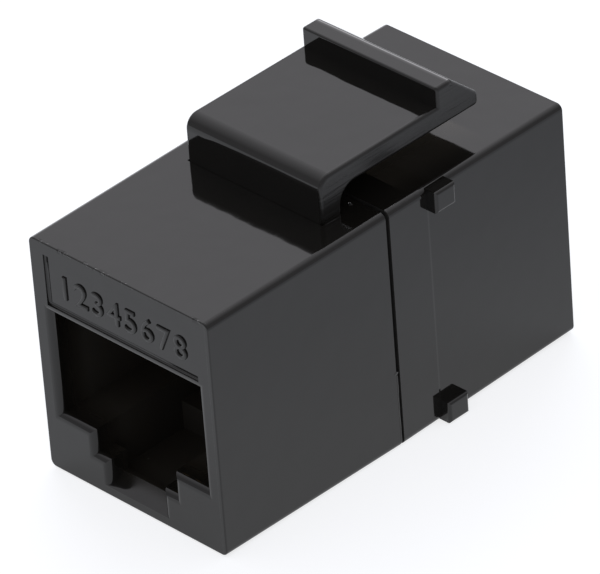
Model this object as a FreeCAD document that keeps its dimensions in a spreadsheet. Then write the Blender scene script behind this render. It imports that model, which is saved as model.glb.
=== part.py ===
import FreeCAD, Part
import math
import os
import Sketcher

# A keystone coupler for structured cabling: two black moulded halves butt at a seam and hold a circuit
# board between two contact carriers, so that a plug in the front port is joined to one in the rear port.
# Frame: X across, Y from the front port (-Y) to the rear port (+Y), Z up. The origin is on the underside,
# in the seam and midway across. Both halves narrow away from the seam, so the seam is the widest section.

# The driving sizes in millimetres: alias, value, meaning.
SIZES = [
    ("cavity_width", 11.9, "port: width for the plug's body"),
    ("cavity_height", 7.0, "port: height above the ledges"),
    ("ledge_height", 4.25, "port: ledges above the underside"),
    ("step_width", 6.5, "port: width of the clip's step"),
    ("step_drop", 1.63, "port: clip's step below the ledges"),
    ("slot_width", 4.4, "port: width of the clip's slot in the face"),
    ("sill_height", 1.3, "port: top of the sill under the slot"),
    ("sill_lip", 0.72, "port: where the sill's ramp starts in the face"),
    ("ramp_run", 1.2, "port: length of the sill's ramp"),
    ("sill_length", 1.5, "port: wall that the plug's clip catches behind"),
    ("pocket_floor", 0.67, "port: floor left under the clip's pocket"),
    ("pocket_length", 5.5, "port: length of the clip's pocket"),
    ("mouth_radius", 0.5, "port: rounding round the mouth"),
    ("seat_ledge", 0.2, "seat wider than the port on each side"),
    ("side_wall", 1.225, "side walls outside the seat"),
    ("carrier_space", 3.62, "height above the port for the contact carrier"),
    ("roof_wall", 1.4, "top wall over the carrier"),
    ("floor_wall", 1.3, "bottom wall under the board"),
    ("front_wall", 1.4, "face wall in front of the carrier"),
    ("seat_depth", 3.3, "seat for the board and carrier, from the seam"),
    ("front_length", 14.45, "front half, from seam to face"),
    ("rear_length", 14.9, "rear half, from seam to face"),
    ("front_draft", 0.1, "front half's narrowing on each side"),
    ("rear_draft", 0.13, "rear half's narrowing on each side"),
    ("long_edge_radius", 0.42, "rounding of the four long edges"),
    ("face_edge_radius", 0.08, "rounding round the end faces"),
    ("seam_gap", 0.28, "open width of the seam's groove"),
    ("seam_depth", 0.45, "depth of the seam's groove"),
    ("tongue_wall", 0.4, "thickness of the tongue inside the seam"),
    ("tongue_length", 0.8, "reach of the tongue past the seam"),
    ("tongue_play", 0.05, "clearance round the tongue"),
    ("recess_width", 12.3, "label recess: width"),
    ("recess_gap", 0.58, "label recess: bottom edge above the port"),
    ("recess_height", 3.5, "label recess: height"),
    ("recess_depth", 0.19, "label recess: depth"),
    ("lug_start", 3.3, "lugs: front face behind the seam"),
    ("lug_length", 1.65, "lugs: length along the side"),
    ("lug_reach", 0.7, "lugs: reach out from the seam's width"),
    ("lug_height", 1.43, "lugs: height"),
    ("lug_inset", 0.07, "lugs: inside the seam's top and bottom"),
    ("lug_edge_radius", 0.2, "lugs: rounding of the outer edges"),
    ("latch_width", 10.9, "latch: width"),
    ("latch_shift", 0.13, "latch: its middle off the body's, towards -X"),
    ("latch_setback", 3.2, "latch: front plane ahead of the seam"),
    ("latch_wall", 1.65, "latch: thickness of the upright wall"),
    ("latch_gap", 1.63, "latch: arm's underside above the top face"),
    ("arm_thickness", 1.4, "latch: thickness of the arm"),
    ("outer_bend", 0.9, "latch: rounding over the upright wall"),
    ("inner_bend", 1.2, "latch: rounding under the arm's root"),
    ("lip_start", 6.58, "latch: lip's face behind the seam"),
    ("lip_height", 1.27, "latch: lip above the arm"),
    ("lip_land", 1.29, "latch: flat top of the lip"),
    ("lip_slope", 2.07, "latch: length of the slope behind the lip"),
    ("tip_height", 0.85, "latch: height of the arm's tip"),
    ("tip_radius", 0.3, "latch: rounding of the tip"),
    ("lip_edge_radius", 0.15, "latch: rounding of the lip's top edges"),
    ("side_edge_radius", 0.24, "latch: rounding of the edges along its sides"),
    ("root_play", 0.02, "latch: clearance round the root"),
    ("root_sink", 0.05, "latch: root's axis below the top face"),
    ("carrier_play", 0.1, "carriers and board: clearance in the seat"),
    ("nose_gap", 1.2, "carriers: nose short of the face wall"),
    ("nose_radius", 0.6, "carriers: rounding of the nose"),
    ("finger_slot", 1.2, "carriers: depth of the slots for the fingers"),
    ("finger_room", 0.5, "carriers: slot below the finger's tip"),
    ("slot_play", 0.08, "carriers: clearance each side of a wire"),
    ("board_thickness", 1.0, "circuit board: thickness"),
    ("hole_diameter", 0.6, "circuit board: plated holes"),
    ("contact_pitch", 1.02, "contacts: spacing"),
    ("wire_diameter", 0.4, "contacts: wire"),
    ("wire_bend", 0.6, "contacts: bend radius"),
    ("wire_gap", 0.15, "contacts: gap to the carrier's nose"),
    ("row_depth", 0.85, "contacts: upper row below the carrier's top"),
    ("row_spacing", 1.3, "contacts: lower row below the upper row"),
    ("bend_drop", 0.12, "contacts: lower bend below the port's roof"),
    ("tip_drop", 2.45, "contacts: finger's tip below the port's roof"),
    ("tip_hold", 0.6, "contacts: tip's reach into its slot"),
    ("pin_length", 0.3, "contacts: pin past the board"),
]
CONTACTS = 8

# Places that several pieces share, as expressions of the sheet's cells.
SEAT_HALF = "(Sizes.cavity_width / 2 + Sizes.seat_ledge)"
HALF_WIDTH = f"({SEAT_HALF} + Sizes.side_wall)"
CAVITY_TOP = "(Sizes.ledge_height + Sizes.cavity_height)"
SEAT_TOP = f"({CAVITY_TOP} + Sizes.carrier_space)"
HEIGHT = f"({SEAT_TOP} + Sizes.roof_wall)"
STEP_FLOOR = "(Sizes.ledge_height - Sizes.step_drop)"
ARM_BOTTOM = f"({HEIGHT} + Sizes.latch_gap)"
ARM_TOP = f"({ARM_BOTTOM} + Sizes.arm_thickness)"
LIP_TOP = f"({ARM_TOP} + Sizes.lip_height)"
LIP_BACK = "(Sizes.lip_start + Sizes.lip_land)"
TIP = f"({LIP_BACK} + Sizes.lip_slope)"
ROOT_SETBACK = "(Sizes.latch_setback - Sizes.latch_wall / 2)"
ROOT_Z = f"({HEIGHT} - Sizes.front_draft * {ROOT_SETBACK} / Sizes.front_length - Sizes.root_sink)"
CARRIER_HALF = f"({SEAT_HALF} - Sizes.carrier_play)"
CARRIER_TOP = f"({SEAT_TOP} - Sizes.carrier_play)"
CARRIER_BASE = "(Sizes.floor_wall + Sizes.carrier_play)"
PLATE_FACE = "(Sizes.seat_depth - Sizes.carrier_play)"
UPPER_ROW = f"({CARRIER_TOP} - Sizes.row_depth)"
LOWER_ROW = f"({UPPER_ROW} - Sizes.row_spacing)"
TIP_Z = f"({CAVITY_TOP} - Sizes.tip_drop)"
WIRE_SLOT = "(Sizes.wire_diameter + 2 * Sizes.slot_play)"
BOARD_HALF = "(Sizes.board_thickness / 2)"

# The side of the seam that each half lies on, along Y.
SIGN = {"front": -1, "rear": 1}


def add_sheet(doc):
    """Puts every driving size in its own cell, under its alias."""
    sheet = doc.addObject("Spreadsheet::Sheet", "Sizes")
    for row, (alias, value, meaning) in enumerate(SIZES, start=1):
        sheet.set(f"A{row}", meaning)
        sheet.set(f"B{row}", str(value))
        sheet.setAlias(f"B{row}", alias)
    doc.recompute()


def add_body(doc, name):
    body = doc.addObject("PartDesign::Body", name)
    body.Label = name
    return body


def add_sketch(body, name, plane, offset="0"):
    """Adds a sketch in one of the body's own planes, moved along the plane's normal by offset."""
    sketch = body.newObject("Sketcher::SketchObject", name)
    support = next(p for p in body.Origin.OriginFeatures if p.Role == plane)
    sketch.AttachmentSupport = [(support, "")]
    sketch.MapMode = "FlatFace"
    sketch.setExpression("AttachmentOffset.Base.z", offset)
    return sketch


def place_point(sketch, geometry, end, across, up):
    """Ties one point of a sketch to two expressions, measured from the sketch's origin."""
    now = sketch.getPoint(geometry, end)
    for kind, expression, value in (("DistanceX", across, now.x), ("DistanceY", up, now.y)):
        index = sketch.addConstraint(Sketcher.Constraint(kind, -1, 1, geometry, end, value))
        sketch.setExpression(f"Constraints[{index}]", expression)


def spread_points(count):
    """Distinct starting places, which the constraints then move to the real ones."""
    turn = 2 * math.pi / count
    return [FreeCAD.Vector(math.cos(k * turn), math.sin(k * turn), 0) * 10 for k in range(count)]


def add_loop(sketch, points):
    """Draws a closed outline of straight lines through points, each a pair of expressions."""
    first = sketch.GeometryCount
    start = spread_points(len(points))
    for k in range(len(points)):
        sketch.addGeometry(Part.LineSegment(start[k], start[(k + 1) % len(points)]))
    for k, (across, up) in enumerate(points):
        following = first + (k + 1) % len(points)
        sketch.addConstraint(Sketcher.Constraint("Coincident", first + k, 2, following, 1))
        place_point(sketch, first + k, 1, across, up)


def add_box_loop(sketch, left, right, bottom, top):
    add_loop(sketch, [(left, bottom), (right, bottom), (right, top), (left, top)])


def add_circle(sketch, across, up, diameter):
    circle = sketch.addGeometry(Part.Circle(FreeCAD.Vector(0, 0, 0), FreeCAD.Vector(0, 0, 1), 1))
    place_point(sketch, circle, 3, across, up)
    index = sketch.addConstraint(Sketcher.Constraint("Diameter", circle, 2))
    sketch.setExpression(f"Constraints[{index}]", diameter)


def add_bent_path(sketch, points, radius_alias):
    """Draws a line through points and rounds each bend to the radius in the sheet."""
    start = spread_points(len(points))
    for k in range(len(points) - 1):
        sketch.addGeometry(Part.LineSegment(start[k], start[k + 1]))
        place_point(sketch, k, 1, *points[k])
        if k:
            sketch.addConstraint(Sketcher.Constraint("Coincident", k - 1, 2, k, 1))
    place_point(sketch, len(points) - 2, 2, *points[-1])
    sketch.Document.recompute()
    radius = getattr(sketch.Document.Sizes, radius_alias)
    for k in range(len(points) - 2):
        arc = sketch.GeometryCount
        sketch.fillet(k, 2, radius, True, True)
        index = sketch.addConstraint(Sketcher.Constraint("Radius", arc, radius))
        sketch.setExpression(f"Constraints[{index}]", f"Sizes.{radius_alias}")


def extrude(body, kind, name, sketch, length, reverse=False, both_ways=False):
    """Adds a Pad or a Pocket of the sketch, and makes it the body's last feature."""
    feature = body.newObject(f"PartDesign::{kind}", name)
    feature.Profile = sketch
    feature.setExpression("Length", length)
    feature.Reversed = reverse
    if both_ways:
        feature.SideType = "Symmetric"
    body.Document.recompute()
    return feature


def dress(body, kind, name, size_property, size, choose):
    """Adds a Fillet or a Chamfer on the edges of the body's last feature that choose picks."""
    base = body.Tip
    picked = [f"Edge{i}" for i, edge in enumerate(base.Shape.Edges, start=1) if choose(edge.BoundBox)]
    if not picked:
        raise RuntimeError(f"{name} finds no edge to work on")
    feature = body.newObject(f"PartDesign::{kind}", name)
    feature.Base = (base, picked)
    feature.setExpression(size_property, size)
    body.Document.recompute()
    return feature


def repeat_along_x(body, feature, name, step, count):
    """Repeats a feature along X, step apart, and makes the pattern the body's last feature."""
    pattern = body.newObject("PartDesign::LinearPattern", name)
    pattern.Originals = [feature]
    axis = next(a for a in body.Origin.OriginFeatures if a.Role == "X_Axis")
    pattern.Direction = (axis, [""])
    pattern.Occurrences = count
    pattern.setExpression("Length", f"{step} * {count - 1}")
    body.Tip = pattern
    body.Document.recompute()


def near(a, b):
    return abs(a - b) < 1e-4


def add_shell(body, side):
    """The half's outside: a block that narrows from the seam to its face, with rounded edges."""
    sketch = add_sketch(body, "seam_section", "XZ_Plane")
    add_box_loop(sketch, f"-{HALF_WIDTH}", HALF_WIDTH, "0", HEIGHT)
    block = extrude(body, "Pad", "block", sketch, f"Sizes.{side}_length", reverse=side == "rear")
    block.setExpression("TaperAngle", f"-atan(Sizes.{side}_draft / Sizes.{side}_length)")
    body.Document.recompute()
    length = getattr(body.Document.Sizes, f"{side}_length")
    dress(body, "Fillet", "long_edges", "Radius", "Sizes.long_edge_radius",
          lambda box: near(box.YLength, length))
    dress(body, "Fillet", "face_edges", "Radius", "Sizes.face_edge_radius",
          lambda box: near(box.YMin, SIGN[side] * length) and near(box.YLength, 0))


def cut_seam_groove(body, side):
    """The open groove that runs round the body where the halves meet."""
    sketch = add_sketch(body, "seam_ring", "XZ_Plane")
    margin = "Sizes.side_wall"
    add_box_loop(sketch, f"-{HALF_WIDTH} - {margin}", f"{HALF_WIDTH} + {margin}",
                 f"-{margin}", f"{HEIGHT} + {margin}")
    inset = "Sizes.seam_depth"
    add_box_loop(sketch, f"{inset} - {HALF_WIDTH}", f"{HALF_WIDTH} - {inset}", inset, f"{HEIGHT} - {inset}")
    extrude(body, "Pocket", "seam_groove", sketch, "Sizes.seam_gap / 2", reverse=side == "front")


def add_tongue(body):
    """The front half's tongue, which fits inside the rear half's mouth."""
    sketch = add_sketch(body, "tongue_section", "XZ_Plane")
    wall = "Sizes.tongue_wall"
    add_box_loop(sketch, f"-{SEAT_HALF} - {wall}", f"{SEAT_HALF} + {wall}",
                 f"Sizes.floor_wall - {wall}", f"{SEAT_TOP} + {wall}")
    extrude(body, "Pad", "tongue", sketch, "Sizes.tongue_length", reverse=True)


def cut_tongue_rebate(body):
    """The rear half's rebate for the tongue."""
    sketch = add_sketch(body, "rebate_section", "XZ_Plane")
    wall = "(Sizes.tongue_wall + Sizes.tongue_play)"
    add_box_loop(sketch, f"-{SEAT_HALF} - {wall}", f"{SEAT_HALF} + {wall}",
                 f"Sizes.floor_wall - {wall}", f"{SEAT_TOP} + {wall}")
    extrude(body, "Pocket", "tongue_rebate", sketch, "Sizes.tongue_length + Sizes.tongue_play")


def cut_inside(body, side):
    """The seat for the board, open at the seam, and the bay above the port for the contact carrier."""
    past_seam = "Sizes.tongue_length" if side == "front" else "0"
    seat = add_sketch(body, "seat_section", "XZ_Plane", f"-({past_seam})")
    add_box_loop(seat, f"-{SEAT_HALF}", SEAT_HALF, "Sizes.floor_wall", SEAT_TOP)
    extrude(body, "Pocket", "seat", seat, f"Sizes.seat_depth + {past_seam}", reverse=side == "front")
    bay = add_sketch(body, "bay_section", "XZ_Plane")
    add_box_loop(bay, f"-{SEAT_HALF}", SEAT_HALF, CAVITY_TOP, SEAT_TOP)
    extrude(body, "Pocket", "carrier_bay", bay, f"Sizes.{side}_length - Sizes.front_wall",
            reverse=side == "front")


def cut_port(body, side):
    """The stepped port: plug cavity, clip step, slot in the face, and the clip's pocket behind it."""
    away = -SIGN[side]
    into = side == "rear"
    length = f"Sizes.{side}_length"
    cavity = add_sketch(body, "cavity_section", "XZ_Plane", f"{away} * {length}")
    step = "Sizes.step_width / 2"
    wide = "Sizes.cavity_width / 2"
    add_loop(cavity, [
        (f"-{wide}", "Sizes.ledge_height"), (f"-{step}", "Sizes.ledge_height"), (f"-{step}", STEP_FLOOR),
        (step, STEP_FLOOR), (step, "Sizes.ledge_height"), (wide, "Sizes.ledge_height"),
        (wide, CAVITY_TOP), (f"-{wide}", CAVITY_TOP)])
    extrude(body, "Pocket", "plug_cavity", cavity, f"{length} - Sizes.seat_depth", reverse=into)
    slot = add_sketch(body, "slot_section", "XZ_Plane", f"{away} * {length}")
    add_box_loop(slot, "-Sizes.slot_width / 2", "Sizes.slot_width / 2", "Sizes.sill_height", STEP_FLOOR)
    extrude(body, "Pocket", "clip_slot", slot, "Sizes.sill_length", reverse=into)
    pocket = add_sketch(body, "pocket_section", "XZ_Plane", f"{away} * ({length} - Sizes.sill_length)")
    add_box_loop(pocket, f"-{step}", step, "Sizes.pocket_floor", STEP_FLOOR)
    extrude(body, "Pocket", "clip_pocket", pocket, "Sizes.pocket_length", reverse=into)
    ramp = add_sketch(body, "ramp_profile", "YZ_Plane")
    face = f"{SIGN[side]} * {length}"
    add_loop(ramp, [(face, "Sizes.sill_lip"), (face, "Sizes.sill_height"),
                    (f"{SIGN[side]} * ({length} - Sizes.ramp_run)", "Sizes.sill_height")])
    extrude(body, "Pocket", "sill_ramp", ramp, "Sizes.slot_width", both_ways=True)
    sheet = body.Document.Sizes
    face_y = SIGN[side] * getattr(sheet, f"{side}_length")
    half = sheet.cavity_width / 2
    roof = sheet.ledge_height + sheet.cavity_height
    dress(body, "Fillet", "mouth_edges", "Radius", "Sizes.mouth_radius",
          lambda box: (near(box.YMin, face_y) and near(box.YMax, face_y)
                       and box.XMax < half + 0.01 and box.XMin > -half - 0.01
                       and box.ZMax < roof + 0.01 and box.ZMax > sheet.sill_lip + 0.01))


def cut_label_recess(body):
    """The shallow recess over the front port, for the contacts' numbers."""
    sketch = add_sketch(body, "recess_section", "XZ_Plane", "Sizes.front_length")
    bottom = f"{CAVITY_TOP} + Sizes.recess_gap"
    add_box_loop(sketch, "-Sizes.recess_width / 2", "Sizes.recess_width / 2",
                 bottom, f"{bottom} + Sizes.recess_height")
    extrude(body, "Pocket", "label_recess", sketch, "Sizes.recess_depth")


def cut_latch_seat(body):
    """The round trough in the top face that the latch's root rocks in."""
    sketch = add_sketch(body, "latch_seat_profile", "YZ_Plane", "-Sizes.latch_shift")
    add_circle(sketch, f"-{ROOT_SETBACK}", ROOT_Z, "Sizes.latch_wall + 2 * Sizes.root_play")
    extrude(body, "Pocket", "latch_seat", sketch, "Sizes.latch_width + 2 * Sizes.root_play", both_ways=True)


def add_lugs(body):
    """The four lugs that stop the body in its panel, two on each side of the rear half."""
    sketch = add_sketch(body, "lug_section", "XZ_Plane", "-Sizes.lug_start")
    inner = f"({HALF_WIDTH} - Sizes.side_wall / 2)"
    outer = f"({HALF_WIDTH} + Sizes.lug_reach)"
    top = f"({HEIGHT} - Sizes.lug_inset)"
    for mirror in ("", "-"):
        add_box_loop(sketch, mirror + inner, mirror + outer, f"{top} - Sizes.lug_height", top)
        add_box_loop(sketch, mirror + inner, mirror + outer, "Sizes.lug_inset",
                     "Sizes.lug_inset + Sizes.lug_height")
    extrude(body, "Pad", "lugs", sketch, "Sizes.lug_length", reverse=True)
    reach = body.Tip.Shape.BoundBox.XMax
    dress(body, "Fillet", "lug_edges", "Radius", "Sizes.lug_edge_radius",
          lambda box: near(max(abs(box.XMin), abs(box.XMax)), reach) and near(box.XLength, 0))


def front_housing(doc):
    body = add_body(doc, "front_housing")
    add_shell(body, "front")
    add_tongue(body)
    cut_inside(body, "front")
    cut_port(body, "front")
    cut_seam_groove(body, "front")
    cut_label_recess(body)
    cut_latch_seat(body)
    return body


def rear_housing(doc):
    body = add_body(doc, "rear_housing")
    add_shell(body, "rear")
    add_lugs(body)
    cut_tongue_rebate(body)
    cut_inside(body, "rear")
    cut_port(body, "rear")
    cut_seam_groove(body, "rear")
    return body


def latch(doc):
    """The arm that snaps behind the panel: an upright wall, an arm over the rear half, and a lip."""
    body = add_body(doc, "latch")
    sketch = add_sketch(body, "latch_profile", "YZ_Plane", "-Sizes.latch_shift")
    front = "-Sizes.latch_setback"
    back = f"({front} + Sizes.latch_wall)"
    add_loop(sketch, [
        (front, ROOT_Z), (front, ARM_TOP), ("Sizes.lip_start", ARM_TOP), ("Sizes.lip_start", LIP_TOP),
        (LIP_BACK, LIP_TOP), (TIP, f"{ARM_BOTTOM} + Sizes.tip_height"), (TIP, ARM_BOTTOM),
        (back, ARM_BOTTOM), (back, ROOT_Z)])
    extrude(body, "Pad", "arm", sketch, "Sizes.latch_width", both_ways=True)
    root = add_sketch(body, "root_profile", "YZ_Plane", "-Sizes.latch_shift")
    add_circle(root, f"-{ROOT_SETBACK}", ROOT_Z, "Sizes.latch_wall")
    extrude(body, "Pad", "root", root, "Sizes.latch_width", both_ways=True)
    box = body.Tip.Shape.BoundBox
    sheet = doc.Sizes
    arm_top = box.ZMax - sheet.lip_height
    arm_bottom = arm_top - sheet.arm_thickness
    width = sheet.latch_width

    def edge_at(y, z):
        return lambda edge: near(edge.XLength, width) and near(edge.YMin, y) and near(edge.ZMin, z)

    dress(body, "Fillet", "over_the_wall", "Radius", "Sizes.outer_bend", edge_at(box.YMin, arm_top))
    dress(body, "Fillet", "under_the_arm", "Radius", "Sizes.inner_bend",
          edge_at(box.YMin + sheet.latch_wall, arm_bottom))
    dress(body, "Fillet", "tip_edges", "Radius", "Sizes.tip_radius",
          lambda edge: near(edge.XLength, width) and near(edge.YMin, box.YMax))
    dress(body, "Fillet", "lip_edges", "Radius", "Sizes.lip_edge_radius",
          lambda edge: near(edge.XLength, width) and near(edge.ZMin, box.ZMax))
    dress(body, "Fillet", "side_edges", "Radius", "Sizes.side_edge_radius",
          lambda edge: near(edge.XLength, 0) and (near(edge.XMin, box.XMin) or near(edge.XMax, box.XMax)))
    return body


def contact_place(number, side):
    """A contact's place across the port: number 1 is on the left, seen from outside its own port."""
    middle = (CONTACTS + 1) / 2
    return f"({-SIGN[side] * (number - middle)} * Sizes.contact_pitch)"


def carrier(doc, side):
    """The moulded comb that holds one port's contacts, with the back plate that stops the plug."""
    body = add_body(doc, f"{side}_contact_carrier")
    sign = SIGN[side]
    nose = f"(Sizes.{side}_length - Sizes.front_wall - Sizes.nose_gap)"
    underside = f"({CAVITY_TOP} + Sizes.carrier_play)"
    profile = add_sketch(body, "carrier_profile", "YZ_Plane")
    add_loop(profile, [
        (f"{sign} * {BOARD_HALF}", CARRIER_BASE), (f"{sign} * {PLATE_FACE}", CARRIER_BASE),
        (f"{sign} * {PLATE_FACE}", underside), (f"{sign} * {nose}", underside),
        (f"{sign} * {nose}", CARRIER_TOP), (f"{sign} * {BOARD_HALF}", CARRIER_TOP)])
    extrude(body, "Pad", "comb", profile, f"2 * {CARRIER_HALF}", both_ways=True)
    box = body.Tip.Shape.BoundBox
    nose_y = box.YMin if side == "front" else box.YMax
    dress(body, "Fillet", "nose", "Radius", "Sizes.nose_radius",
          lambda edge: near(edge.XLength, box.XLength) and near(edge.YMin, nose_y))
    left = f"({contact_place(1, 'front')} - {WIRE_SLOT} / 2)"
    right = f"({contact_place(1, 'front')} + {WIRE_SLOT} / 2)"
    tail = add_sketch(body, "tail_slot_section", "XZ_Plane")
    add_box_loop(tail, left, right, f"{LOWER_ROW} - {WIRE_SLOT} / 2", f"{CARRIER_TOP} + Sizes.carrier_play")
    slot = extrude(body, "Pocket", "tail_slot", tail, f"Sizes.{side}_length", reverse=side == "front")
    repeat_along_x(body, slot, "tail_slots", "Sizes.contact_pitch", CONTACTS)
    finger = add_sketch(body, "finger_slot_section", "XZ_Plane", f"{-sign} * {PLATE_FACE}")
    add_box_loop(finger, left, right, f"{TIP_Z} - Sizes.finger_room", underside)
    slot = extrude(body, "Pocket", "finger_slot", finger, "Sizes.finger_slot", reverse=side == "rear")
    repeat_along_x(body, slot, "finger_slots", "Sizes.contact_pitch", CONTACTS)
    return body


def circuit_board(doc):
    """The board that joins the two ports, clamped between the carriers."""
    body = add_body(doc, "circuit_board")
    outline = add_sketch(body, "board_outline", "XZ_Plane")
    add_box_loop(outline, f"-{CARRIER_HALF}", CARRIER_HALF, CARRIER_BASE, CARRIER_TOP)
    extrude(body, "Pad", "board", outline, "Sizes.board_thickness", both_ways=True)
    for row, height in (("upper", UPPER_ROW), ("lower", LOWER_ROW)):
        sketch = add_sketch(body, f"{row}_hole_section", "XZ_Plane")
        add_circle(sketch, contact_place(1, "front"), height, "Sizes.hole_diameter")
        hole = extrude(body, "Pocket", f"{row}_hole", sketch, "2 * Sizes.board_thickness", both_ways=True)
        repeat_along_x(body, hole, f"{row}_holes", "Sizes.contact_pitch", CONTACTS)
    return body


def contact(doc, side, number):
    """One spring wire: a pin through the board, a tail over the carrier, and a finger in the port."""
    body = add_body(doc, f"{side}_contact_{number}")
    sign = SIGN[side]
    place = contact_place(number, side)
    row = UPPER_ROW if number % 2 else LOWER_ROW
    nose = f"(Sizes.{side}_length - Sizes.front_wall - Sizes.nose_gap)"
    drop = f"{sign} * ({nose} + Sizes.wire_gap + Sizes.wire_diameter / 2)"
    pin = f"({BOARD_HALF} + Sizes.pin_length)"
    path = add_sketch(body, "wire_path", "YZ_Plane", place)
    add_bent_path(path, [
        (f"{-sign} * {pin}", row), (drop, row), (drop, f"{CAVITY_TOP} - Sizes.bend_drop"),
        (f"{sign} * ({PLATE_FACE} - Sizes.tip_hold)", TIP_Z)], "wire_bend")
    section = add_sketch(body, "wire_section", "XZ_Plane", f"{sign} * {pin}")
    add_circle(section, place, row, "Sizes.wire_diameter")
    wire = body.newObject("PartDesign::AdditivePipe", "wire")
    wire.Profile = section
    wire.Spine = path
    return body


def check(doc, pieces):
    """Stops the script if any feature failed or any piece isn't one sound solid."""
    for item in doc.Objects:
        if "Invalid" in item.State or "Error" in item.State:
            raise RuntimeError(f"{item.Label} failed to compute")
    for piece in pieces:
        if piece.Shape.isNull() or not piece.Shape.isValid() or len(piece.Shape.Solids) != 1:
            raise RuntimeError(f"{piece.Label} isn't one sound solid")


document = FreeCAD.newDocument("keystone_coupler")
add_sheet(document)
parts = [
    front_housing(document), rear_housing(document), latch(document), circuit_board(document),
    carrier(document, "front"), carrier(document, "rear")]
for end in SIGN:
    parts += [contact(document, end, number) for number in range(1, CONTACTS + 1)]
document.recompute()
check(document, parts)
os.makedirs("parts", exist_ok=True)
for part in parts:
    part.Shape.exportStep(f"parts/{part.Label}.step")
    print(part.Label, round(part.Shape.Volume, 3), part.Shape.BoundBox)
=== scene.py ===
import math

import bmesh
import bpy
from mathutils import Matrix, Vector, noise


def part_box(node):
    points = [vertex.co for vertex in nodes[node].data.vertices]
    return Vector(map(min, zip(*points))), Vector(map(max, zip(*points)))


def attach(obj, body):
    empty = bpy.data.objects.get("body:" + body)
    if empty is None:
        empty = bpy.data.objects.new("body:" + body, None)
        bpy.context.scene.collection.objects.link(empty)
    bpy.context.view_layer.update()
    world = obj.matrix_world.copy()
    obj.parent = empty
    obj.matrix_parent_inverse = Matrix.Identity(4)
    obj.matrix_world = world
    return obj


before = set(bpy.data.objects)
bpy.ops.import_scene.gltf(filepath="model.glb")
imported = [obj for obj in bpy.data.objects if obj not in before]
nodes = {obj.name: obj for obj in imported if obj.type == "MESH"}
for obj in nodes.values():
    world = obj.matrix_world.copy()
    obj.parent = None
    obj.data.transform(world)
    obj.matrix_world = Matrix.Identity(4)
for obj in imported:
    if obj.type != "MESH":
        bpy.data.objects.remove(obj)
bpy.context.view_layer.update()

# ---- Circuit board ---------------------------------------------------------------------------------
# A small rectangle of glass-epoxy laminate, 1 mm thick, printed with green solder mask. It stands upright
# in the seam, between the two carriers, and the pins of all sixteen contacts pass through it.
MM = 0.001


def linear(hex_colour):
    """An sRGB hex colour such as "#1f5a35" as the linear colour that Blender's sockets take."""
    channels = [int(hex_colour[i : i + 2], 16) / 255 for i in (1, 3, 5)]
    return [c / 12.92 if c <= 0.04045 else ((c + 0.055) / 1.055) ** 2.4 for c in channels] + [1.0]


def new_material(name):
    """An empty material, its Principled BSDF, and its surface's place in the frame in millimetres."""
    material = bpy.data.materials.new(name)
    material.use_nodes = True
    metres = add_node(material, "ShaderNodeTexCoord").outputs["Object"]
    place = add_node(material, "ShaderNodeVectorMath", {"operation": "SCALE"}, Vector=metres, Scale=1 / MM)
    return material, material.node_tree.nodes["Principled BSDF"], place.outputs[0]


def add_node(material, kind, settings=(), **inputs):
    """Adds a node with its own settings. Each input is a value, or another node's output to link to it."""
    node = material.node_tree.nodes.new(kind)
    for name, value in dict(settings).items():
        setattr(node, name, value)
    for name, value in inputs.items():
        set_input(material, node, name, value)
    return node


def set_input(material, node, name, value):
    """Sets or links one input. Its name is the socket's identifier, with _ for each space."""
    socket = next(s for s in node.inputs if s.enabled and s.identifier.replace(" ", "_") == name)
    if isinstance(value, bpy.types.NodeSocket):
        material.node_tree.links.new(value, socket)
    else:
        socket.default_value = value


def dress(node, material):
    """Gives a CAD node its finish."""
    for slot in nodes[node].material_slots:
        slot.material = material


# The mask's coat is thin and glossy, and the glass weave under it shows as faint ribs. The sawn edges have
# no mask and show the yellowish laminate.
THREAD_SPACING = 0.4
WAVE_LENGTH = math.pi / 10
SAWN_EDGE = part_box("circuit_board")[1].x / MM - 0.02
solder_mask, surface, place = new_material("green_solder_mask_on_laminate")
threads = [
    add_node(
        solder_mask, "ShaderNodeTexWave", {"bands_direction": axis},
        Vector=place, Scale=WAVE_LENGTH / THREAD_SPACING).outputs["Fac"]
    for axis in ("X", "Z")]
weave = add_node(
    solder_mask, "ShaderNodeMath", {"operation": "MAXIMUM"},
    Value=threads[0], Value_001=threads[1]).outputs[0]
ribs = add_node(solder_mask, "ShaderNodeBump", Height=weave, Strength=0.3, Distance=0.01 * MM)
set_input(solder_mask, surface, "Normal", ribs.outputs[0])
across = add_node(solder_mask, "ShaderNodeSeparateXYZ", Vector=place).outputs["X"]
from_middle = add_node(solder_mask, "ShaderNodeMath", {"operation": "ABSOLUTE"}, Value=across).outputs[0]
sawn = add_node(
    solder_mask, "ShaderNodeMath", {"operation": "GREATER_THAN"},
    Value=from_middle, Value_001=SAWN_EDGE).outputs[0]
streaks = add_node(solder_mask, "ShaderNodeTexNoise", Vector=place, Scale=0.8, Detail=3.0).outputs["Fac"]
mask = add_node(
    solder_mask, "ShaderNodeMix", {"data_type": "RGBA"},
    Factor_Float=streaks, A_Color=linear("#1a5030"), B_Color=linear("#24653d")).outputs["Result"]
coat = add_node(
    solder_mask, "ShaderNodeMix", {"data_type": "RGBA"},
    Factor_Float=sawn, A_Color=mask, B_Color=linear("#8d8750")).outputs["Result"]
set_input(solder_mask, surface, "Base_Color", coat)
surface.inputs["Roughness"].default_value = 0.3
dress("circuit_board", solder_mask)

# ---- Contact carriers -------------------------------------------------------------------------------
# Two combs moulded in black PBT, one for each port. Their slots hold the wires at their pitch, and their
# back plates stop the plugs.

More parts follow.
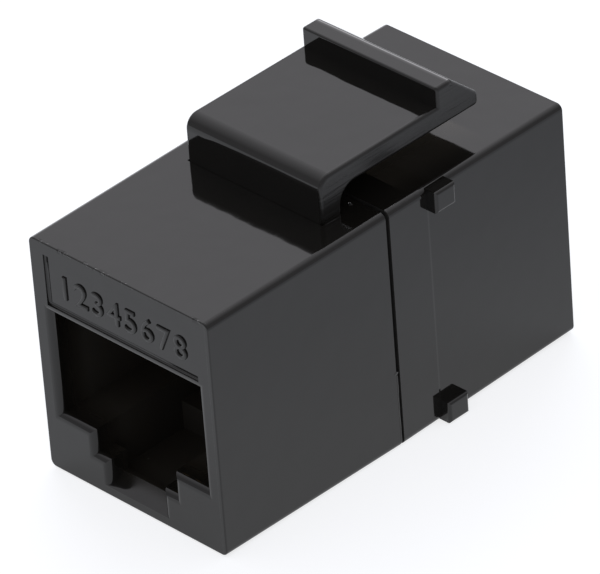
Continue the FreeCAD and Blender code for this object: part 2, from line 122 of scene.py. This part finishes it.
# Spark-eroded tools leave them matt, with a fine grain that is drawn a few times too coarse, so that it
# shows.
GRAIN_SIZE = 0.15
carrier_pbt, surface, place = new_material("moulded_black_pbt")
grain = add_node(
    carrier_pbt, "ShaderNodeTexNoise", Vector=place, Scale=1 / GRAIN_SIZE, Detail=2.0).outputs["Fac"]
skin = add_node(
    carrier_pbt, "ShaderNodeMix", {"data_type": "RGBA"},
    Factor_Float=grain, A_Color=linear("#1f1e1b"), B_Color=linear("#2b2925")).outputs["Result"]
set_input(carrier_pbt, surface, "Base_Color", skin)
pits = add_node(carrier_pbt, "ShaderNodeBump", Height=grain, Strength=0.4, Distance=0.02 * MM)
set_input(carrier_pbt, surface, "Normal", pits.outputs[0])
surface.inputs["Roughness"].default_value = 0.55
dress("front_contact_carrier", carrier_pbt)
dress("rear_contact_carrier", carrier_pbt)

# ---- Contacts ---------------------------------------------------------------------------------------
# Sixteen phosphor-bronze wires, 0.4 mm thick, bent into spring fingers and plated with gold. Each lies in
# its carrier's slots, and its straight pin is soldered into the board.

# The plating is bright, with soft patches where it is thinner, and faint lines from drawing the wire, which
# run along the jack.
DRAWING_LINES = (12, 0.6, 12)
gold_plating, surface, place = new_material("gold_plated_phosphor_bronze")
surface.inputs["Metallic"].default_value = 1.0
patches = add_node(gold_plating, "ShaderNodeTexNoise", Vector=place, Scale=0.9, Detail=2.0).outputs["Fac"]
thin = add_node(
    gold_plating, "ShaderNodeMix", {"data_type": "RGBA"},
    Factor_Float=patches, A_Color=linear("#e3b766"), B_Color=linear("#f2cb84")).outputs["Result"]
set_input(gold_plating, surface, "Base_Color", thin)
drawn = add_node(
    gold_plating, "ShaderNodeVectorMath", {"operation": "MULTIPLY"},
    Vector=place, Vector_001=DRAWING_LINES).outputs[0]
lines = add_node(gold_plating, "ShaderNodeTexNoise", Vector=drawn, Scale=1.0).outputs["Fac"]
gloss = add_node(gold_plating, "ShaderNodeMapRange", Value=lines, To_Min=0.14, To_Max=0.3).outputs[0]
set_input(gold_plating, surface, "Roughness", gloss)
for half in ("front", "rear"):
    for number in range(1, 9):
        dress(f"{half}_contact_{number}", gold_plating)

# ---- Front housing ----------------------------------------------------------------------------------
# The front half of the shell, injection moulded in black ABS, with the stepped port, the ramp for the
# plug's clip and the label recess. It closes on the board and the carriers from the front.

# The tool was polished, so the outside is a glossy black that mirrors the room, a little uneven, with a
# few scuffs and specks of dust. The core that shaped the port wasn't polished, so the inside is matt; its
# colour is drawn paler, painted light that lifts the shade inside the port. The limits of each such place
# say where it begins, and where it is full.
PORT_SIDE = (6.35, 6.15)
PORT_MOUTH = (14.2, 12.0)
PORT_FLOOR = (0.5, 0.6)
PORT_ROOF = (15.2, 15.1)
black_abs, surface, place = new_material("polished_black_abs")
surface.inputs["IOR"].default_value = 1.54
at = add_node(black_abs, "ShaderNodeSeparateXYZ", Vector=place).outputs
from_middle = add_node(black_abs, "ShaderNodeMath", {"operation": "ABSOLUTE"}, Value=at["X"]).outputs[0]
from_seam = add_node(black_abs, "ShaderNodeMath", {"operation": "ABSOLUTE"}, Value=at["Y"]).outputs[0]


def zone(material, *limits):
    """A mask that is 1 inside all its limits. A limit is a measure, where it begins, and where it is full. A
    sharp limit is a measure, GREATER_THAN or LESS_THAN, and a value."""
    mask = 1.0
    for measure, begins, full in limits:
        if begins in ("GREATER_THAN", "LESS_THAN"):
            reach = add_node(
                material, "ShaderNodeMath", {"operation": begins}, Value=measure, Value_001=full).outputs[0]
        else:
            reach = add_node(
                material, "ShaderNodeMapRange", Value=measure, From_Min=begins, From_Max=full).outputs[0]
        mask = add_node(
            material, "ShaderNodeMath", {"operation": "MULTIPLY"}, Value=mask, Value_001=reach).outputs[0]
    return mask


inside = zone(
    black_abs, (from_middle, *PORT_SIDE), (from_seam, *PORT_MOUTH),
    (at["Z"], *PORT_FLOOR), (at["Z"], *PORT_ROOF))

# The latch's two long sides come from a part of the tool that was only milled: its marks run along the arm.
LATCH_LOW, LATCH_HIGH = (Vector(corner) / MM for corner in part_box("latch"))
LATCH_MIDDLE = (LATCH_LOW.x + LATCH_HIGH.x) / 2
LATCH_HALF = (LATCH_HIGH.x - LATCH_LOW.x) / 2
MILLED_SIDE = (LATCH_HALF - 0.26, LATCH_HALF - 0.12)
MILLED_FOOT = (16.3, 16.5)
MILL_MARKS = (1.0, 0.25, 5.0)
from_latch = add_node(
    black_abs, "ShaderNodeMath", {"operation": "SUBTRACT"}, Value=at["X"], Value_001=LATCH_MIDDLE).outputs[0]
from_latch = add_node(black_abs, "ShaderNodeMath", {"operation": "ABSOLUTE"}, Value=from_latch).outputs[0]
milled = zone(black_abs, (from_latch, *MILLED_SIDE), (at["Z"], *MILLED_FOOT))
stretched = add_node(
    black_abs, "ShaderNodeVectorMath", {"operation": "MULTIPLY"},
    Vector=place, Vector_001=MILL_MARKS).outputs[0]
mill_marks = add_node(black_abs, "ShaderNodeTexNoise", Vector=stretched, Scale=1.0, Detail=3.0).outputs["Fac"]

# Clouds a few millimetres across, fine scuffs that run mostly along the jack, and specks of dust below the
# top face, in about one cell of three.
SCUFF_STRETCH = (2.2, 0.22, 0.9)
SCUFFED = (0.62, 0.75)
SPECK = (0.035, 0.02)
SPECK_DRAW = ("GREATER_THAN", 0.7)
BELOW_TOP = ("LESS_THAN", 15.9)
clouds = add_node(black_abs, "ShaderNodeTexNoise", Vector=place, Scale=0.3, Detail=3.0).outputs["Fac"]
stretched = add_node(
    black_abs, "ShaderNodeVectorMath", {"operation": "MULTIPLY"},
    Vector=place, Vector_001=SCUFF_STRETCH).outputs[0]
scuffs = add_node(
    black_abs, "ShaderNodeTexNoise", Vector=stretched, Scale=1.3, Detail=4.0, Roughness=0.7).outputs["Fac"]
scuffs = zone(black_abs, (scuffs, *SCUFFED))
cells = add_node(black_abs, "ShaderNodeTexVoronoi", Vector=place, Scale=0.42).outputs
draw = add_node(black_abs, "ShaderNodeSeparateColor", Color=cells["Color"]).outputs["Red"]
dust = zone(black_abs, (cells["Distance"], *SPECK), (draw, *SPECK_DRAW), (at["Z"], *BELOW_TOP))

# The seam's groove is drawn matt and a little paler, and the top face under the latch's arm paler still:
# painted light that lifts the shade in the groove and under the arm. Under the arm it is strongest in the
# middle, where the shade is deepest, so that limit counts twice.
GROOVE = (0.17, 0.145)
UNDER_LATCH = ("LESS_THAN", 16.25)
PAINTED_LIGHT_SIDE = (7.1, 3.0)
PAINTED_LIGHT_FOOT = (-1.9, -1.7)
PAINTED_LIGHT_LIP = (9.6, 9.3)
PAINTED_LIGHT_FLOOR = (15.9, 16.0)
groove = zone(black_abs, (from_seam, *GROOVE), (at["Z"], *UNDER_LATCH))
painted_light_under_arm = zone(
    black_abs, (at["Z"], *UNDER_LATCH), (from_middle, *PAINTED_LIGHT_SIDE), (from_middle, *PAINTED_LIGHT_SIDE),
    (at["Y"], *PAINTED_LIGHT_FOOT), (at["Y"], *PAINTED_LIGHT_LIP), (at["Z"], *PAINTED_LIGHT_FLOOR))

SCUFF_ROUGHNESS = 0.12
gloss = add_node(black_abs, "ShaderNodeMapRange", Value=clouds, To_Min=0.03, To_Max=0.07).outputs[0]
gloss = add_node(
    black_abs, "ShaderNodeMath", {"operation": "MULTIPLY_ADD"},
    Value=scuffs, Value_001=SCUFF_ROUGHNESS, Value_002=gloss).outputs[0]
for matt_place, roughness in ((milled, 0.3), (inside, 0.6), (groove, 0.8), (dust, 0.8)):
    gloss = add_node(
        black_abs, "ShaderNodeMix", {"data_type": "FLOAT"},
        Factor_Float=matt_place, A_Float=gloss, B_Float=roughness).outputs["Result"]
set_input(black_abs, surface, "Roughness", gloss)

colour = add_node(
    black_abs, "ShaderNodeMix", {"data_type": "RGBA"},
    Factor_Float=clouds, A_Color=linear("#100f0d"), B_Color=linear("#151412")).outputs["Result"]
# The paler colours inside the port, under the latch's arm and in the seam's groove are painted light that
# lifts the shade there; the specks are dust.
for pale_place, shade in (
        (inside, "#28251f"), (painted_light_under_arm, "#423e37"), (groove, "#22211e"), (dust, "#5a5955")):
    colour = add_node(
        black_abs, "ShaderNodeMix", {"data_type": "RGBA"},
        Factor_Float=pale_place, A_Color=colour, B_Color=linear(shade)).outputs["Result"]
set_input(black_abs, surface, "Base_Color", colour)

# Relief: the skin's slow waves, the marks on the latch's sides, and on the rear half's sides a low step
# down from one lug to the other, where two parts of the tool meet. The front face's top edge has small
# nicks, from other jacks in its bag. The lip's top rolls off ever more steeply towards its back edge, so
# that limit counts twice.
TOOL_STEP = (3.36, 3.24)
BODY_SIDE = ("GREATER_THAN", 7.0)
NICKED = (0.52, 0.66)
FRONT_EDGE = (-14.25, -14.38)
TOP_EDGE = (15.95, 16.08)
LIP_BACK = (7.5, 7.79)
LIP_TOP = ("GREATER_THAN", 20.2)
ripple = add_node(black_abs, "ShaderNodeTexNoise", Vector=place, Scale=0.5, Detail=1.0).outputs["Fac"]
marks = add_node(
    black_abs, "ShaderNodeMath", {"operation": "MULTIPLY"}, Value=mill_marks, Value_001=milled).outputs[0]
step = zone(black_abs, (at["Y"], *TOOL_STEP), (from_middle, *BODY_SIDE))
nicks = add_node(
    black_abs, "ShaderNodeTexNoise", Vector=place, Scale=0.9, Detail=4.0, Roughness=0.7).outputs["Fac"]
nicks = zone(black_abs, (nicks, *NICKED), (at["Y"], *FRONT_EDGE), (at["Z"], *TOP_EDGE))
roll_off = zone(black_abs, (at["Y"], *LIP_BACK), (at["Y"], *LIP_BACK), (at["Z"], *LIP_TOP))
skin = add_node(black_abs, "ShaderNodeBump", Height=ripple, Strength=1.0, Distance=0.014 * MM).outputs[0]
for relief, height, sunk in (
        (marks, 0.025, False), (step, 0.012, False), (nicks, 0.04, True), (roll_off, 0.053, True)):
    skin = add_node(
        black_abs, "ShaderNodeBump", {"invert": sunk},
        Height=relief, Strength=1.0, Distance=height * MM, Normal=skin).outputs[0]
set_input(black_abs, surface, "Normal", skin)
dress("front_housing", black_abs)

# The recess for the label has softly rounded inner corners, drawn as a strip round its floor.
RECESS_FLOOR = -14.26 * MM
RECESS_LOW = Vector((-6.15, 0, 11.83)) * MM
RECESS_HIGH = Vector((6.15, 0, 15.33)) * MM
SOFT_CORNER = 0.17 * MM
CORNER_STEPS = 6
TUCKED_IN = 0.02 * MM
SHARP_BEND = math.radians(35)


def finish_piece(drawing, name, material, body):
    """Turns a bmesh into a piece with a material that rides on a body. Only sharp bends stay sharp."""
    bmesh.ops.recalc_face_normals(drawing, faces=drawing.faces)
    for face in drawing.faces:
        face.smooth = True
    for edge in drawing.edges:
        edge.smooth = edge.calc_face_angle(0) < SHARP_BEND
    mesh = bpy.data.meshes.new(name)
    drawing.to_mesh(mesh)
    drawing.free()
    mesh.materials.append(material)
    piece = bpy.data.objects.new(name, mesh)
    bpy.context.scene.collection.objects.link(piece)
    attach(piece, body)


def join_rings(drawing, rings):
    """Draws the faces between each ring of points and the next."""
    for before, after in zip(rings, rings[1:]):
        for j in range(len(before)):
            following = (j + 1) % len(before)
            drawing.faces.new((before[j], before[following], after[following], after[j]))


strip = bmesh.new()
profile = [(-TUCKED_IN, -TUCKED_IN)]
for k in range(CORNER_STEPS + 1):
    angle = math.radians(90 / CORNER_STEPS * k)
    profile.append((SOFT_CORNER * (1 - math.sin(angle)), SOFT_CORNER * (1 - math.cos(angle))))
rings = []
for inward, height in profile:
    low = RECESS_LOW + Vector((inward, 0, inward))
    high = RECESS_HIGH - Vector((inward, 0, inward))
    corners = ((low.x, low.z), (high.x, low.z), (high.x, high.z), (low.x, high.z))
    rings.append([strip.verts.new((x, RECESS_FLOOR - height, z)) for x, z in corners])
join_rings(strip, rings + rings[:1])
finish_piece(strip, "recess_corner_rounding", black_abs, "coupler_body")

# The numbers of the eight contacts stand in the recess, raised from its floor by less than its depth. They
# come from the same tool as the housing, and are set wider than the contacts' pitch so that they read.
DIGIT_HEIGHT = 1.6 * MM
DIGIT_SHARE_OF_SIZE = 0.73
DIGIT_PITCH = 1.34 * MM
DIGIT_BASE = 12.75 * MM
MIDDLE_NUMBER = 4.5
digits = bmesh.new()
for number in range(1, 9):
    drawing = bpy.data.curves.new("contact_number", "FONT")
    drawing.body = str(number)
    drawing.size = DIGIT_HEIGHT / DIGIT_SHARE_OF_SIZE
    drawing.align_x = "CENTER"
    drawing.offset = -0.05 * MM
    drawing.extrude = 0.03 * MM
    drawing.bevel_depth = 0.09 * MM
    drawing.bevel_resolution = 3
    holder = bpy.data.objects.new("contact_number", drawing)
    shape = bpy.data.meshes.new_from_object(holder)
    stand = Matrix.Translation(((number - MIDDLE_NUMBER) * DIGIT_PITCH, RECESS_FLOOR, DIGIT_BASE))
    shape.transform(stand @ Matrix.Rotation(math.radians(90), 4, "X"))
    digits.from_mesh(shape)
    bpy.data.objects.remove(holder)
    bpy.data.curves.remove(drawing)
    bpy.data.meshes.remove(shape)
bmesh.ops.remove_doubles(digits, verts=digits.verts, dist=0.001 * MM)
finish_piece(digits, "contact_numbers", black_abs, "coupler_body")

# ---- Rear housing -----------------------------------------------------------------------------------
# The rear half of the shell, from the same ABS, with the four lugs that stop the jack in its opening. It
# slides on to the front half's tongue and is cemented there.
dress("rear_housing", black_abs)

# ---- Cement in the seam -----------------------------------------------------------------------------
# Solvent cement that was squeezed out when the halves were pushed together. It fills the front side of the
# seam's groove round the lower edges, and has dried flush with the shell as soft, shiny ABS.
SHELL_CORNER = 0.42 * MM
SHELL_HALF_WIDTH = 7.37 * MM
GROOVE_WALL = -0.14 * MM
BEAD_TOP = 5.2 * MM
BEAD_DEPTH = 0.3 * MM
BEAD_STEP = 0.12 * MM
BEAD_EDGE = 0.01 * MM
BEAD_SWAY = 0.05 * MM
BEAD_LEAST_WIDTH = 0.02 * MM
BEAD_TAPER = 0.25 * MM
# The bead's section: shares of its width, and heights over the shell.
BEAD_SECTION = (
    (0, -BEAD_DEPTH), (0, -0.02 * MM), (0.15, -0.005 * MM),
    (0.6, -0.005 * MM), (0.9, -0.03 * MM), (1, -BEAD_DEPTH))


def seam_outline(run):
    """The point on the shell's outline, and its outward direction, at a run up the +X side from the middle of
    the underside, or up the -X side for a negative run."""
    flat = SHELL_HALF_WIDTH - SHELL_CORNER
    turn = SHELL_CORNER * math.pi / 2
    sign = -1 if run < 0 else 1
    run = abs(run)
    if run < flat:
        return Vector((sign * run, 0, 0)), Vector((0, 0, -1))
    if run < flat + turn:
        angle = (run - flat) / SHELL_CORNER
        out = Vector((sign * math.sin(angle), 0, -math.cos(angle)))
        return Vector((sign * flat, 0, SHELL_CORNER)) + out * SHELL_CORNER, out
    return Vector((sign * SHELL_HALF_WIDTH, 0, SHELL_CORNER + run - flat - turn)), Vector((sign, 0, 0))


bead = bmesh.new()
full_run = SHELL_HALF_WIDTH - SHELL_CORNER + SHELL_CORNER * math.pi / 2 + BEAD_TOP - SHELL_CORNER
rings = []
for k in range(math.ceil(2 * full_run / BEAD_STEP) + 1):
    run = -full_run + k * BEAD_STEP
    to_end = full_run - abs(min(run, full_run))
    point, out = seam_outline(min(run, full_run))
    edge = BEAD_EDGE + BEAD_SWAY * noise.noise(Vector((run / MM * 1.1, 3, 0)))
    taper = min(1.0, to_end / BEAD_TAPER) ** 0.5
    width = max(BEAD_LEAST_WIDTH, (edge - GROOVE_WALL) * taper)
    rings.append([
        bead.verts.new(point + out * height + Vector((0, GROOVE_WALL + share * width, 0)))
        for share, height in BEAD_SECTION])
join_rings(bead, rings)
bead.faces.new(rings[0])
bead.faces.new(reversed(rings[-1]))
# The film has dried smooth where it ran and duller where it pulled back.
cement, surface, place = new_material("dried_abs_cement")
flow = add_node(cement, "ShaderNodeTexNoise", Vector=place, Scale=1.5, Detail=2.0).outputs["Fac"]
film = add_node(
    cement, "ShaderNodeMix", {"data_type": "RGBA"},
    Factor_Float=flow, A_Color=linear("#11100e"), B_Color=linear("#1c1b18")).outputs["Result"]
set_input(cement, surface, "Base_Color", film)
gloss = add_node(cement, "ShaderNodeMapRange", Value=flow, To_Min=0.06, To_Max=0.2).outputs[0]
set_input(cement, surface, "Roughness", gloss)
surface.inputs["IOR"].default_value = 1.54
finish_piece(bead, "seam_cement", cement, "coupler_body")

# At the head of the bead a drop of cement has run out of the groove, and dried as a low lump on the side.
DROP_HALF = (0.035, 0.15, 0.11)
DROP_MIDDLE = Vector((7.362, -0.16, 5.24)) * MM


def add_lump(drawing, half, middle, swell, fineness, shift):
    """Draws an uneven lump, half as large as its size in mm. Noise swells it by up to a share."""
    for vert in bmesh.ops.create_icosphere(drawing, subdivisions=3, radius=1)["verts"]:
        uneven = 1 + swell * noise.noise(vert.co * fineness + Vector((shift, 0, 0)))
        x, y, z = (distance * limit for distance, limit in zip(vert.co, half))
        vert.co = Vector((x, y, z)) * uneven * MM
        vert.co += middle


drop = bmesh.new()
add_lump(drop, DROP_HALF, DROP_MIDDLE, swell=0.35, fineness=1.7, shift=0)
finish_piece(drop, "cement_drop", cement, "coupler_body")

# ---- Latch ------------------------------------------------------------------------------------------
# The springy arm that snaps behind the panel, with its raised lip and sloped tip. It is moulded in one
# piece with the front half, and bends at the foot of its upright wall.
dress("latch", black_abs)

# A ragged ridge of flash and a nib stand on the top face beside the latch's foot, where two halves of the
# tool meet.
ON_TOP = Vector((0, 0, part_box("front_housing")[1].z))
FLASH_X, FLASH_Y = 5.42, -3.05
FLASH_RUN_X, FLASH_RUN_Y = 0.06, 1.1
FLASH_SIZE = 0.045 * MM
FLASH_FLATNESS = 0.8
FLASH_STEPS = 14
FLASH_SIDES = 8
NIB_HALF = (0.14, 0.1, 0.07)
NIB_MIDDLE = Vector((5.05, -0.63, 0)) * MM + ON_TOP
flash = bmesh.new()
rings = []
for k in range(FLASH_STEPS + 1):
    along = k / FLASH_STEPS
    ragged = 0.6 + 0.4 * noise.noise(Vector((9 * along, 1, 5)))
    size = FLASH_SIZE * ragged * math.sin(math.pi * (0.04 + 0.92 * along)) ** 0.5
    middle = Vector((FLASH_X + FLASH_RUN_X * along, FLASH_Y + FLASH_RUN_Y * along, 0)) * MM + ON_TOP
    rings.append([
        flash.verts.new(middle + Vector((size * math.cos(turn), 0, size * math.sin(turn) * FLASH_FLATNESS)))
        for turn in (j * math.tau / FLASH_SIDES for j in range(FLASH_SIDES))])
join_rings(flash, rings)
flash.faces.new(rings[0])
flash.faces.new(reversed(rings[-1]))
add_lump(flash, NIB_HALF, NIB_MIDDLE, swell=0.4, fineness=1.9, shift=4)
finish_piece(flash, "moulding_flash", black_abs, "coupler_body")

# ---- Table ------------------------------------------------------------------------------------------
# A plain sheet of white paper under the object. The sheet looks brighter from the camera than it lights
# the object. In the object's gloss it has a painted glow of its own, a painted reflection: fainter far
# behind the object, and brightest just beside its side.
FLOOR_HALF = 3.0
SEEN_GLOW = 0.75
BEHIND = (0.707, 0.707, 0)
SIDE = 7.4
floor_mesh = bpy.data.meshes.new("floor")
floor_corners = [(-1, -1), (1, -1), (1, 1), (-1, 1)]
floor_mesh.from_pydata([(x * FLOOR_HALF, y * FLOOR_HALF, 0) for x, y in floor_corners], [], [(0, 1, 2, 3)])
floor = bpy.data.objects.new("floor", floor_mesh)
bpy.context.scene.collection.objects.link(floor)
paper, surface, place = new_material("white_paper")
surface.inputs["Base Color"].default_value = linear("#a3a7ad")
surface.inputs["Roughness"].default_value = 0.9
surface.inputs["Specular IOR Level"].default_value = 0.0
path = add_node(paper, "ShaderNodeLightPath").outputs
seen = add_node(
    paper, "ShaderNodeMath", {"operation": "MAXIMUM"},
    Value=path["Is Camera Ray"], Value_001=path["Is Transmission Ray"]).outputs[0]
# Painted reflection: the glow that glossy rays see fades with distance behind the object, and is raised just
# beside its side.
behind = add_node(
    paper, "ShaderNodeVectorMath", {"operation": "DOT_PRODUCT"},
    Vector=place, Vector_001=BEHIND).outputs["Value"]
falling = add_node(
    paper, "ShaderNodeMapRange",
    Value=behind, From_Min=8.0, From_Max=45.0, To_Min=0.5, To_Max=0.26).outputs[0]
across = add_node(paper, "ShaderNodeSeparateXYZ", Vector=place).outputs["X"]
beside = add_node(
    paper, "ShaderNodeMapRange",
    Value=across, From_Min=8.0, From_Max=20.0, To_Min=0.1, To_Max=0.0).outputs[0]
past_side = add_node(
    paper, "ShaderNodeMath", {"operation": "GREATER_THAN"}, Value=across, Value_001=SIDE).outputs[0]
painted_reflection_glow = add_node(
    paper, "ShaderNodeMath", {"operation": "MULTIPLY_ADD"},
    Value=beside, Value_001=past_side, Value_002=falling).outputs[0]
painted_reflection_glow = add_node(
    paper, "ShaderNodeMath", {"operation": "MULTIPLY"},
    Value=path["Is Glossy Ray"], Value_001=painted_reflection_glow).outputs[0]
glow = add_node(
    paper, "ShaderNodeMath", {"operation": "MULTIPLY_ADD"},
    Value=seen, Value_001=SEEN_GLOW, Value_002=painted_reflection_glow).outputs[0]
surface.inputs["Emission Color"].default_value = (1, 1, 1, 1)
set_input(paper, surface, "Emission_Strength", glow)
floor_mesh.materials.append(paper)

# ---- Light ------------------------------------------------------------------------------------------
# A pale studio that is brightest behind the object's left side, where a large window would be, with a
# brighter sill low under it. A soft lamp there lights the colours, but stays out of the gloss, which
# mirrors the studio.
WINDOW = Vector((-0.61, 0.57, 0.56))
WINDOW_NEAR = (0.6, 0.8)
SILL_HEIGHT = (0.25, 0.05)
SILL_GLOW = 1.4
BACKDROP_GLOW = 1.06
world = bpy.data.worlds.new("studio")
bpy.context.scene.world = world
world.use_nodes = True
background = world.node_tree.nodes["Background"]
background.inputs["Color"].default_value = (0.965, 0.955, 1.0, 1)
path = add_node(world, "ShaderNodeLightPath").outputs
heading = add_node(world, "ShaderNodeTexCoord").outputs["Generated"]
height = add_node(world, "ShaderNodeSeparateXYZ", Vector=heading).outputs["Z"]
towards = add_node(
    world, "ShaderNodeVectorMath", {"operation": "DOT_PRODUCT"},
    Vector=heading, Vector_001=WINDOW).outputs["Value"]
glow = add_node(
    world, "ShaderNodeMapRange",
    Value=towards, From_Min=0.3, From_Max=1.0, To_Min=0.42, To_Max=1.1).outputs[0]
sill = zone(world, (towards, *WINDOW_NEAR), (height, *SILL_HEIGHT))
glow = add_node(
    world, "ShaderNodeMath", {"operation": "MULTIPLY_ADD"},
    Value=sill, Value_001=SILL_GLOW, Value_002=glow).outputs[0]
backdrop = add_node(
    world, "ShaderNodeMath", {"operation": "MULTIPLY"},
    Value=path["Is Camera Ray"], Value_001=BACKDROP_GLOW).outputs[0]
glow = add_node(
    world, "ShaderNodeMath", {"operation": "MAXIMUM"}, Value=glow, Value_001=backdrop).outputs[0]
seen = add_node(
    world, "ShaderNodeMath", {"operation": "MAXIMUM"},
    Value=path["Is Camera Ray"], Value_001=path["Is Glossy Ray"]).outputs[0]
seen = add_node(
    world, "ShaderNodeMath", {"operation": "MAXIMUM"},
    Value=seen, Value_001=path["Is Transmission Ray"]).outputs[0]
strength = add_node(world, "ShaderNodeMapRange", Value=seen, To_Min=0.75, To_Max=glow).outputs[0]
set_input(world, background, "Strength", strength)

LAMP_DISTANCE = 0.8
towards_lamp = WINDOW.normalized()
light = bpy.data.lights.new("key_softbox", "AREA")
light.shape = "SQUARE"
light.size = 0.6
light.energy = 2.2
lamp = bpy.data.objects.new("key_softbox", light)
bpy.context.scene.collection.objects.link(lamp)
lamp.location = towards_lamp * LAMP_DISTANCE
lamp.rotation_euler = towards_lamp.to_track_quat("Z", "Y").to_euler()
lamp.visible_glossy = False

# ---- Camera -----------------------------------------------------------------------------------------
# A long lens, about 42 cm away, that looks down on the front right corner and is turned a little about its
# own line of sight. The view transform is the plain one.
AZIMUTH = math.radians(46.967)
ELEVATION = math.radians(33.914)
ROLL = math.radians(-4.493)
AIM = Vector((0.605, -0.894, 8.8)) * MM
DISTANCE = 420.26 * MM
camera_data = bpy.data.cameras.new("camera")
camera_data.lens = 433.84
camera_data.sensor_width = 36.0
camera = bpy.data.objects.new("camera", camera_data)
bpy.context.scene.collection.objects.link(camera)
turn = Matrix.Rotation(AZIMUTH, 4, "Z") @ Matrix.Rotation(math.radians(90) - ELEVATION, 4, "X")
camera.matrix_world = (
    Matrix.Translation(AIM) @ turn @ Matrix.Rotation(ROLL, 4, "Z") @ Matrix.Translation((0, 0, DISTANCE)))
bpy.context.scene.camera = camera
bpy.context.scene.view_settings.view_transform = "Standard"
